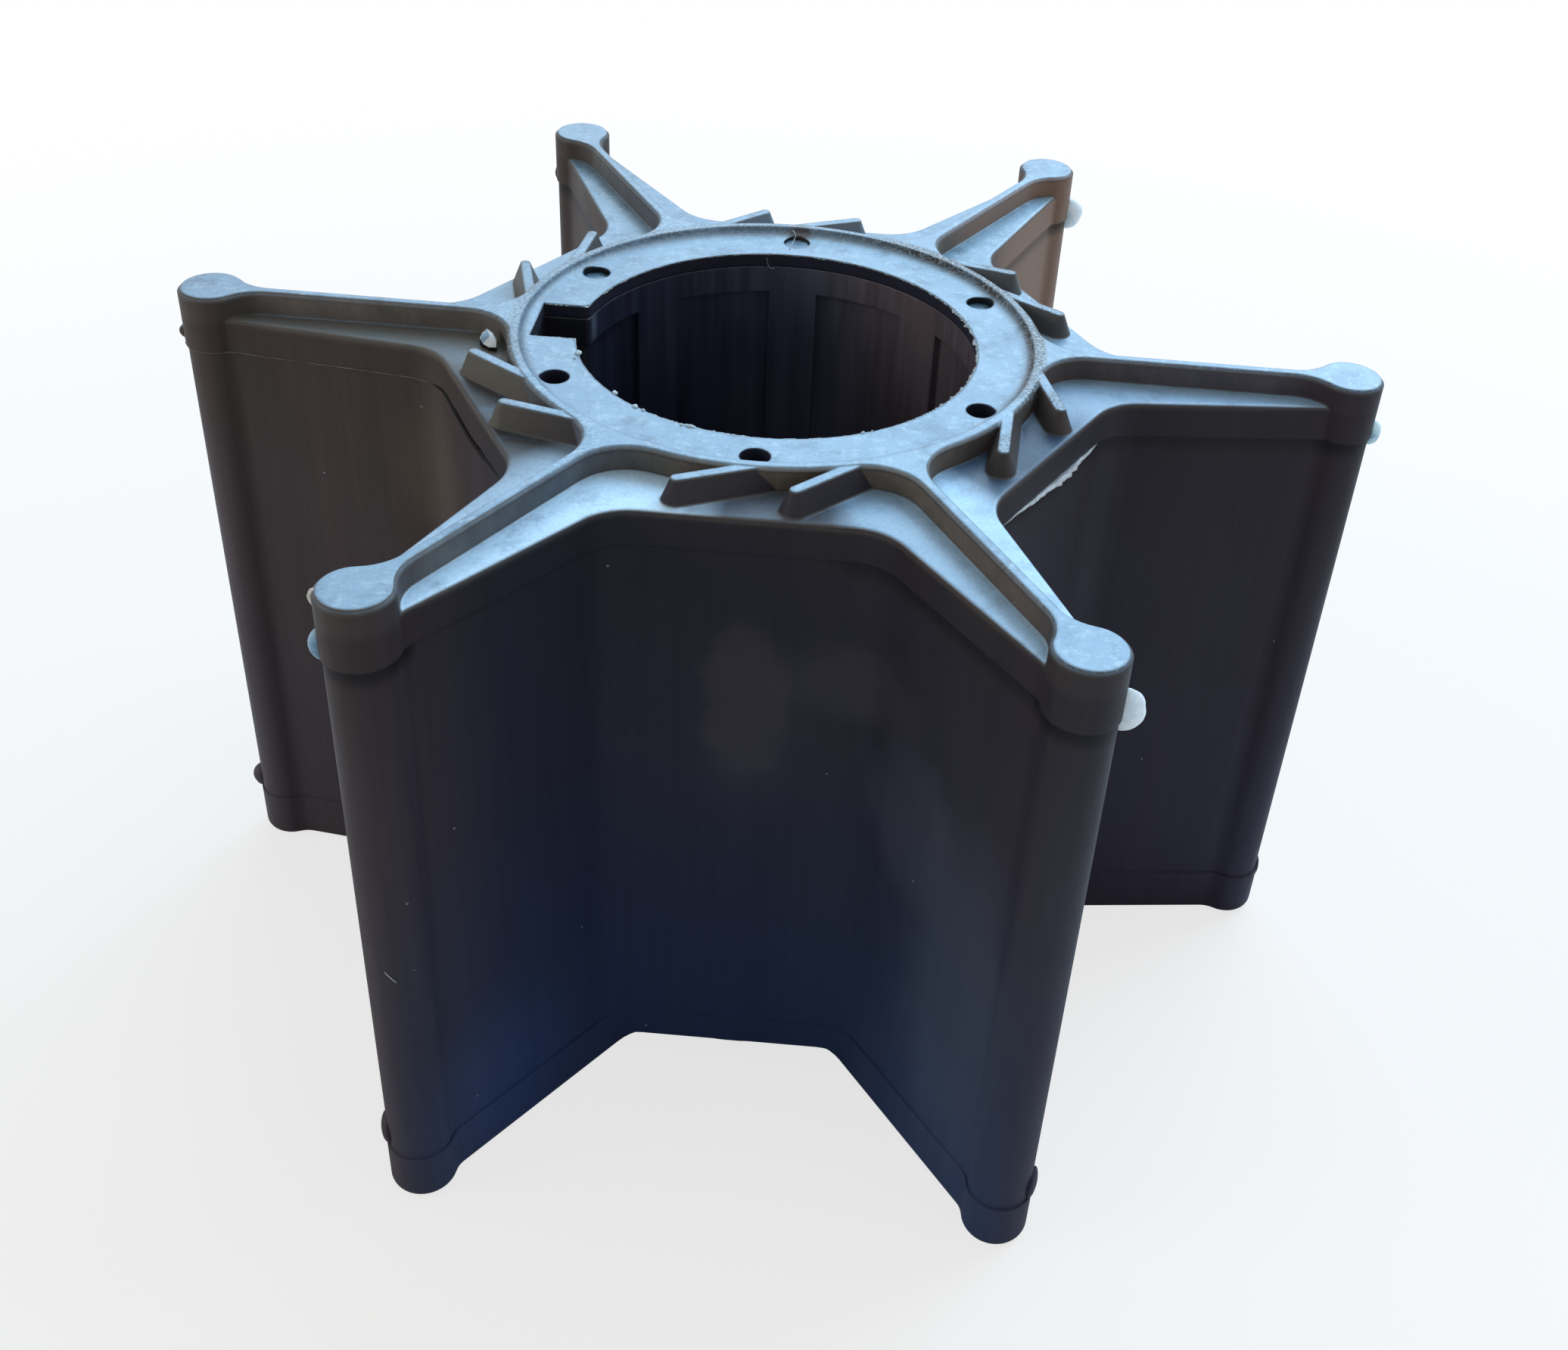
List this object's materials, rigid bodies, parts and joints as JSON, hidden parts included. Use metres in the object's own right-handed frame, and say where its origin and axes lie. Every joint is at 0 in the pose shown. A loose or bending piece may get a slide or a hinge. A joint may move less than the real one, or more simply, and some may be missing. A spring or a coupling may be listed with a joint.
{
  "type": "rubber pump impeller",
  "caption": "Flexible-vane water pump impeller: moulded rubber vanes with bulb tips round a keyed rigid hub bush.",
  "frame": {"origin": "centre of the underside, on the bore axis, where the impeller rests on its lower end", "axes": "+Z along the bore axis, +X along one vane; the keyway opens towards -X, in line with the opposite vane"},
  "size_m": [0.0662, 0.0578, 0.0392],
  "materials": {
    "rubber": "satin moulded rubber",
    "bush": "smooth moulded"
  },
  "bodies": {
    "root": {"rubber_body": "rubber", "hub_bush": "bush"}
  },
  "joints": []
}
